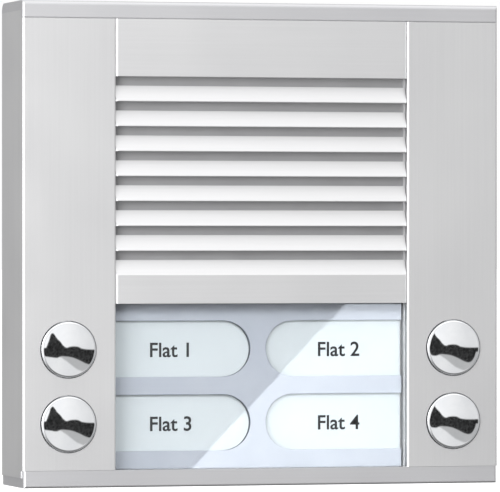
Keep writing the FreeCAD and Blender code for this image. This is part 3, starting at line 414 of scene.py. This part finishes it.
def painted_opening_shade(number):
    """Painted shade along the cut edge of one name opening: a dark strip, thin along the top, full round
    the inner end.
    """
    card_low, card_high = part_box("name_card_%d" % number)
    mask_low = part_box("label_mask")[0]
    side = 1 if card_low.x + card_high.x > 0 else -1
    middle = (card_low.z + card_high.z) / 2
    centre = side * (LABEL_INNER + LABEL_RADIUS)
    thick, thin = (0.26 * MM, 0.10 * MM) if side < 0 else (0.10 * MM, 0.06 * MM)
    line = [(x, LABEL_RADIUS, thin, (0.0, -1.0)) for x in (side * OPENING_END, centre + side * OPENING_RUN)]
    for i in range(EDGE_STEPS + 1):
        swing = 180 * i / EDGE_STEPS
        turn = math.radians(90 - swing)
        share = math.cos(math.radians(max(-90.0, min(90.0, (swing - 55) * 1.05))))
        width = thin * 0.4 + (thick - thin * 0.4) * max(0.0, share) ** 0.8
        out = (-side * math.cos(turn), math.sin(turn))
        line.append((centre + out[0] * LABEL_RADIUS, out[1] * LABEL_RADIUS, width, (-out[0], -out[1])))
    front, back = mask_low.y + 2 * EDGE_OVERLAP, card_low.y - EDGE_OVERLAP
    mesh = bpy.data.meshes.new("opening_edge_%d" % number)
    work = bmesh.new()
    rings = []
    for x, z, width, (ix, iz) in line:
        outer = (x - ix * EDGE_OVERLAP, middle + z - iz * EDGE_OVERLAP)
        inner = (x + ix * width, middle + z + iz * width)
        rings.append([work.verts.new((p[0], y, p[1])) for p, y in
                      ((outer, front), (inner, front), (inner, back), (outer, back))])
    for first, second in zip(rings, rings[1:]):
        for i in range(4):
            j = (i + 1) % 4
            work.faces.new((first[i], first[j], second[j], second[i]))
    work.faces.new(rings[0])
    work.faces.new(rings[-1])
    bmesh.ops.recalc_face_normals(work, faces=work.faces)
    work.to_mesh(mesh)
    work.free()
    mesh.materials.append(EDGE_SHADE)
    piece = bpy.data.objects.new("opening_edge_%d" % number, mesh)
    SCENE.collection.objects.link(piece)
    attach(piece, "housing")


for n in range(1, 5):
    painted_opening_shade(n)


# ================================================================ button caps

CAP_RADIUS = 7.7 * MM
CAP_SPHERE = 49.7 * MM
CAP_APEX = 1.3 * MM
CAP_RIM = 0.7 * MM
FLANGE_SETBACK = 2.05 * MM
FLANGE_T = 1.0 * MM
FLANGE_EDGE = 0.1 * MM
STEM_RADIUS = 2.5 * MM
STEM_EDGE = 0.3 * MM
CREASE = math.radians(50)
ON_AXIS = 1e-7


def lathe(name, profile, centre, steps=160):
    """A solid turned about the Y axis. Each profile point is (radius, y); the ends lie on the axis."""
    mesh = bpy.data.meshes.new(name)
    work = bmesh.new()
    rings = []
    for radius, y in profile:
        if radius < ON_AXIS:
            rings.append([work.verts.new((0, y, 0))])
            continue
        ring = []
        for i in range(steps):
            angle = 2 * math.pi * i / steps
            ring.append(work.verts.new((radius * math.cos(angle), y, radius * math.sin(angle))))
        rings.append(ring)
    for first, second in zip(rings, rings[1:]):
        for i in range(steps):
            j = (i + 1) % steps
            corners = [first[i % len(first)], first[j % len(first)],
                       second[j % len(second)], second[i % len(second)]]
            corners = list(dict.fromkeys(corners))
            if len(corners) > 2:
                work.faces.new(corners)
    bmesh.ops.recalc_face_normals(work, faces=work.faces)
    work.to_mesh(mesh)
    work.free()
    mesh.shade_smooth()
    mesh.set_sharp_from_angle(angle=CREASE)
    turned = bpy.data.objects.new(name, mesh)
    SCENE.collection.objects.link(turned)
    turned.location = centre
    return turned


def arc(centre, radius, start, stop, steps):
    """Points of an arc in a (radius, y) profile; angle 0 lies outward and 90 degrees faces the viewer."""
    points = []
    for i in range(steps + 1):
        angle = math.radians(start + (stop - start) * i / steps)
        points.append((centre[0] + radius * math.cos(angle), centre[1] - radius * math.sin(angle)))
    return points


def button_cap(number):
    """A polished domed cap with a rounded rim, and the flange and stem that stay behind the wall."""
    low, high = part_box("button_cap_%d" % number)
    centre = Vector(((low.x + high.x) / 2, 0, (low.z + high.z) / 2))
    sphere_y = FRONT_Y - CAP_APEX + CAP_SPHERE
    reach = CAP_RADIUS - CAP_RIM
    rim_y = sphere_y - math.sqrt((CAP_SPHERE - CAP_RIM) ** 2 - reach ** 2)
    lean = math.degrees(math.asin(reach / (CAP_SPHERE - CAP_RIM)))
    dome = arc((0, sphere_y), CAP_SPHERE, 90, 90 - lean, 48)
    dome[0] = (0, FRONT_Y - CAP_APEX)
    rim = arc((reach, rim_y), CAP_RIM, 90 - lean, 0, 14)[1:]
    flange = (high.x - low.x) / 2
    front = FRONT_Y + FLANGE_SETBACK
    back = front + FLANGE_T
    profile = dome + rim + [
        (CAP_RADIUS, front), (flange - FLANGE_EDGE, front), (flange, front + FLANGE_EDGE),
        (flange, back - FLANGE_EDGE), (flange - FLANGE_EDGE, back), (STEM_RADIUS, back),
        (STEM_RADIUS, high.y - STEM_EDGE), (STEM_RADIUS - STEM_EDGE, high.y), (0, high.y)]
    cap = lathe("chrome_cap_%d" % number, profile, centre)
    cap.data.materials.append(MATERIALS["chrome"])
    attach(cap, "button_%d" % number)
    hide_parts("button_cap_%d" % number)
    return cap


CAPS = [button_cap(n) for n in range(1, 5)]


def closing_spring(number):
    """Gives the return spring a mesh of its own."""
    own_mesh(nodes["button_spring_%d" % number])


for n in range(1, 5):
    closing_spring(n)


# ================================================================ floor, light, camera

def stage_floor():
    """A wide pale floor under the panel, lit evenly enough to read as a plain white sweep."""
    mesh = bpy.data.meshes.new("floor")
    half = 12.0
    corners = [(x * half, y * half, FLOOR_Z) for x, y in ((-1, -1), (1, -1), (1, 1), (-1, 1))]
    mesh.from_pydata(corners, [], [(0, 1, 2, 3)])
    floor = bpy.data.objects.new("floor", mesh)
    SCENE.collection.objects.link(floor)
    material, tree, shader = start_material("floor_paint")
    cloud = noise(tree, 0.05, (1, 1, 1), 2.0)
    tree.links.new(tint(tree, cloud, (0.80, 0.80, 0.80), (0.82, 0.82, 0.82)), shader.inputs["Base Color"])
    shader.inputs["Roughness"].default_value = 0.9
    shader.inputs["Emission Color"].default_value = (1, 1, 1, 1)
    shader.inputs["Emission Strength"].default_value = 0.45
    path = add(tree, "ShaderNodeLightPath")
    clear = add(tree, "ShaderNodeBsdfTransparent")
    both = add(tree, "ShaderNodeMixShader", {0: path.outputs["Is Camera Ray"],
                                             1: clear.outputs[0], 2: shader.outputs[0]})
    tree.links.new(both.outputs[0], tree.nodes["Material Output"].inputs["Surface"])
    mesh.materials.append(material)


def area_light(name, position, target, size, power, colour=(1, 1, 1)):
    """A soft rectangular lamp, aimed at a point."""
    lamp = bpy.data.lights.new(name, "AREA")
    lamp.shape = "RECTANGLE"
    lamp.size, lamp.size_y = size
    lamp.energy = power
    lamp.color = colour
    holder = bpy.data.objects.new(name, lamp)
    SCENE.collection.objects.link(holder)
    holder.location = position
    aim = Vector(target) - Vector(position)
    holder.rotation_euler = aim.to_track_quat("-Z", "Y").to_euler()
    return holder


def heading(azimuth, elevation):
    """Unit direction; azimuth 0 lies in front of the panel and 90 on its right."""
    a, e = math.radians(azimuth), math.radians(elevation)
    return (math.sin(a) * math.cos(e), -math.cos(a) * math.cos(e), math.sin(e))


def curve_node(tree, value, points):
    """A drawn curve; inputs and outputs both run from -1 to 1."""
    shifted = math_node(tree, "MULTIPLY_ADD", value, 0.5)
    tree.nodes[-1].inputs[2].default_value = 0.5
    node = add(tree, "ShaderNodeFloatCurve", {"Value": shifted})
    line = node.mapping.curves[0]
    spots = [((x + 1) / 2, (y + 1) / 2) for x, y in points]
    line.points[0].location = spots[0]
    line.points[1].location = spots[-1]
    for spot in spots[1:-1]:
        line.points.new(*spot)
    node.mapping.update()
    back = math_node(tree, "MULTIPLY_ADD", node.outputs[0], 2.0)
    tree.nodes[-1].inputs[2].default_value = -1.0
    return back


def over(tree, value, edge, soft):
    """0 below an edge and 1 above it, with a soft step."""
    gap = math_node(tree, "SUBTRACT", value, edge)
    step = add(tree, "ShaderNodeMapRange", {"Value": gap, "From Min": -soft, "From Max": soft},
               interpolation_type="SMOOTHSTEP")
    return step.outputs["Result"]


def blend(tree, share, first, second):
    """Two values mixed by a share."""
    node = add(tree, "ShaderNodeMix", data_type="FLOAT")
    for socket, value in ((node.inputs[0], share), (node.inputs[2], first), (node.inputs[3], second)):
        if isinstance(value, bpy.types.NodeSocket):
            tree.links.new(value, socket)
        else:
            socket.default_value = value
    return node.outputs[0]


# The studio as the caps mirror it, in units of the widest mirrored angle.
MIRROR_CENTRE = 15.65
MIRROR_SPAN = 17.3
MIRROR_DROP = 0.11
BAND_TOP = [(-1.0, 0.12), (-0.88, 0.42), (-0.81, 0.62), (-0.74, 0.66), (-0.66, 0.58), (-0.58, 0.46),
            (-0.46, 0.34), (-0.35, 0.20), (-0.23, 0.125), (-0.1, 0.155), (0.1, 0.165), (0.23, 0.145),
            (0.35, 0.09), (0.46, 0.07), (0.6, 0.055), (1.0, 0.05)]
BAND_FOOT = [(-1.0, -0.20), (-0.8, -0.23), (-0.58, -0.25), (-0.46, -0.20), (-0.23, -0.20), (0.0, -0.235),
             (0.12, -0.27), (0.23, -0.31), (0.35, -0.36), (0.46, -0.41), (0.58, -0.45), (0.7, -0.47),
             (0.82, -0.44), (0.92, -0.32), (1.0, -0.10)]
SHADE_FOOT = [(-1.0, -0.20), (-0.40, -0.25), (-0.35, -0.29), (-0.23, -0.36), (-0.1, -0.45), (0.0, -0.52),
              (0.12, -0.60), (0.23, -0.66), (0.35, -0.70), (0.46, -0.74), (0.6, -0.77), (1.0, -0.77)]


def mirrored_front(tree, direction):
    """What stands in front of the panel: a white upper field, a dark uneven band and a pale lower field."""
    split = add(tree, "ShaderNodeSeparateXYZ", {0: direction})
    forward = math_node(tree, "MULTIPLY", split.outputs["Y"], -1.0)
    azimuth = math_node(tree, "DEGREES", math_node(tree, "ARCTAN2", split.outputs["X"], forward))
    elevation = math_node(tree, "DEGREES", math_node(tree, "ARCSINE", split.outputs["Z"]))
    across = math_node(tree, "DIVIDE", math_node(tree, "SUBTRACT", azimuth, MIRROR_CENTRE), MIRROR_SPAN)
    up = math_node(tree, "DIVIDE", elevation, MIRROR_SPAN)
    up = math_node(tree, "ADD", up, MIRROR_DROP)
    inside = add(tree, "ShaderNodeClamp", {"Value": across, "Min": -1.0, "Max": 1.0}).outputs[0]
    top = curve_node(tree, inside, BAND_TOP)
    foot = curve_node(tree, inside, BAND_FOOT)
    shade_foot = curve_node(tree, inside, SHADE_FOOT)
    upper = add(tree, "ShaderNodeMapRange", {"Value": across, "From Min": -0.7, "From Max": 0.7,
                                             "To Min": 1.13, "To Max": 0.84}).outputs[0]
    lower = add(tree, "ShaderNodeMapRange", {"Value": across, "From Min": -0.7, "From Max": 0.8,
                                             "To Min": 0.91, "To Max": 0.79}).outputs[0]
    streaks = add(tree, "ShaderNodeTexNoise", {"Vector": direction, "Scale": 26.0, "Detail": 3.0,
                                               "Distortion": 1.5}).outputs["Fac"]
    dark = add(tree, "ShaderNodeMapRange", {"Value": streaks, "From Min": 0.38, "From Max": 0.62,
                                            "To Min": 0.012, "To Max": 0.055}).outputs[0]
    above_foot = over(tree, up, foot, 0.025)
    above_top = over(tree, up, top, 0.025)
    above_shade = over(tree, up, shade_foot, 0.04)
    field = blend(tree, above_shade, lower, 0.52)
    field = blend(tree, above_foot, field, dark)
    field = blend(tree, above_top, field, upper)
    return field, across, up


def studio_world():
    """A pale room: brighter from the left and from above, dim behind and below."""
    world = bpy.data.worlds.new("studio")
    SCENE.world = world
    world.use_nodes = True
    tree = world.node_tree
    tree.nodes.clear()
    direction = add(tree, "ShaderNodeTexCoord").outputs["Generated"]
    rise = add(tree, "ShaderNodeSeparateXYZ", {0: direction}).outputs["Z"]
    strength = add(tree, "ShaderNodeMapRange", {"Value": rise, "From Min": -0.9, "From Max": 0.9,
                                                "To Min": ROOM_FLOOR, "To Max": ROOM_TOP}).outputs["Result"]
    for azimuth, elevation, inner, outer, gain in ROOM_LOBES:
        dot = add(tree, "ShaderNodeVectorMath", {0: direction, 1: heading(azimuth, elevation)},
                  operation="DOT_PRODUCT").outputs["Value"]
        lobe = add(tree, "ShaderNodeMapRange", {"Value": dot, "From Min": math.cos(math.radians(outer)),
                                                "From Max": math.cos(math.radians(inner)),
                                                "To Min": 0.0, "To Max": gain},
                   interpolation_type="SMOOTHSTEP").outputs["Result"]
        strength = math_node(tree, "ADD", strength, lobe)
    front, across, up = mirrored_front(tree, direction)
    reach_x = math_node(tree, "ABSOLUTE", across)
    reach_z = math_node(tree, "ABSOLUTE", up)
    widest = math_node(tree, "MAXIMUM", reach_x, reach_z)
    share = add(tree, "ShaderNodeMapRange", {"Value": widest, "From Min": 1.05, "From Max": 1.8,
                                             "To Min": 1.0, "To Max": 0.0},
                interpolation_type="SMOOTHSTEP").outputs["Result"]
    strength = blend(tree, share, strength, front)
    room = add(tree, "ShaderNodeBackground", {"Color": (1, 1, 1, 1), "Strength": strength})
    seen = add(tree, "ShaderNodeBackground", {"Color": (1, 1, 1, 1), "Strength": 1.0})
    path = add(tree, "ShaderNodeLightPath")
    both = add(tree, "ShaderNodeMixShader", {0: path.outputs["Is Camera Ray"], 1: room.outputs[0],
                                             2: seen.outputs[0]})
    output = add(tree, "ShaderNodeOutputWorld")
    tree.links.new(both.outputs[0], output.inputs["Surface"])


ROOM_FLOOR = 0.16
ROOM_TOP = 1.05
# azimuth, elevation, inner and outer half angle, added strength
ROOM_LOBES = [(-70, 5, 15, 52, 0.8), (180, 0, 40, 95, -0.27), (0, 76, 12, 50, 0.40)]


def main_camera():
    """The camera, level, to the left of the panel and a long way off."""
    axis = Vector((math.sin(CAMERA_YAW), math.cos(CAMERA_YAW), 0))
    right = Vector((math.cos(CAMERA_YAW), -math.sin(CAMERA_YAW), 0))
    camera = bpy.data.cameras.new("camera")
    camera.lens = CAMERA_FOCUS
    camera.sensor_width = 36.0
    camera.shift_y = CAMERA_RISE
    camera.clip_end = 50.0
    holder = bpy.data.objects.new("camera", camera)
    SCENE.collection.objects.link(holder)
    holder.location = Vector((0, FRONT_Y, 0)) - axis * CAMERA_DISTANCE - right * CAMERA_OFFSET
    holder.rotation_euler = (math.radians(90), 0, -CAMERA_YAW)
    SCENE.camera = holder


def light_only(lamp, receivers):
    """A lamp that shines on these pieces alone."""
    group = bpy.data.collections.new(lamp.name + "_receivers")
    for piece in receivers:
        group.objects.link(piece)
    lamp.light_linking.receiver_collection = group


# Window light that falls on the names past a slanting border.
BEAM_PLACE = Vector((0.10, -1.00, 0.06))
BEAM_TOP = Vector((0.02549, -0.0194, -0.01674))
BEAM_FOOT = Vector((-0.01915, -0.0194, -0.06243))
BEAM_POWER = 25.0
NAMES_POWER = 5.1
KEY_POWER = 2.45


def slanted_beam():
    """A small lamp that lights only what lies to the right of the border."""
    border = (BEAM_TOP - BEAM_PLACE).cross(BEAM_FOOT - BEAM_PLACE).normalized()
    if border.x < 0:
        border.negate()
    lamp = bpy.data.lights.new("window_light", "POINT")
    lamp.energy = BEAM_POWER
    lamp.shadow_soft_size = 0.0
    lamp.use_nodes = True
    tree = lamp.node_tree
    outward = add(tree, "ShaderNodeTexCoord").outputs["Normal"]
    side = add(tree, "ShaderNodeVectorMath", {0: outward, 1: tuple(border)},
               operation="DOT_PRODUCT").outputs["Value"]
    lit = add(tree, "ShaderNodeMapRange", {"Value": side, "From Min": -0.0004, "From Max": 0.0004})
    tree.links.new(lit.outputs["Result"], tree.nodes["Emission"].inputs["Strength"])
    holder = bpy.data.objects.new("window_light", lamp)
    SCENE.collection.objects.link(holder)
    holder.location = BEAM_PLACE
    return holder


stage_floor()
studio_world()
NAMES = [nodes["label_mask"]] + [nodes["name_card_%d" % n] for n in range(1, 5)]
light_only(slanted_beam(), NAMES)
light_only(area_light("names", (0.10, -0.85, 0.36), (0, 0, -0.04), (0.22, 0.22), NAMES_POWER), NAMES)
key = area_light("key", (-0.35, -0.38, 0.09), (0, 0, -0.02), (0.3, 0.3), KEY_POWER)
light_only(key, [o for o in SCENE.objects if o.type in ("MESH", "FONT") and o not in CAPS + NAMES])
main_camera()
SCENE.view_settings.view_transform = "Standard"
SCENE.view_settings.look = "None"
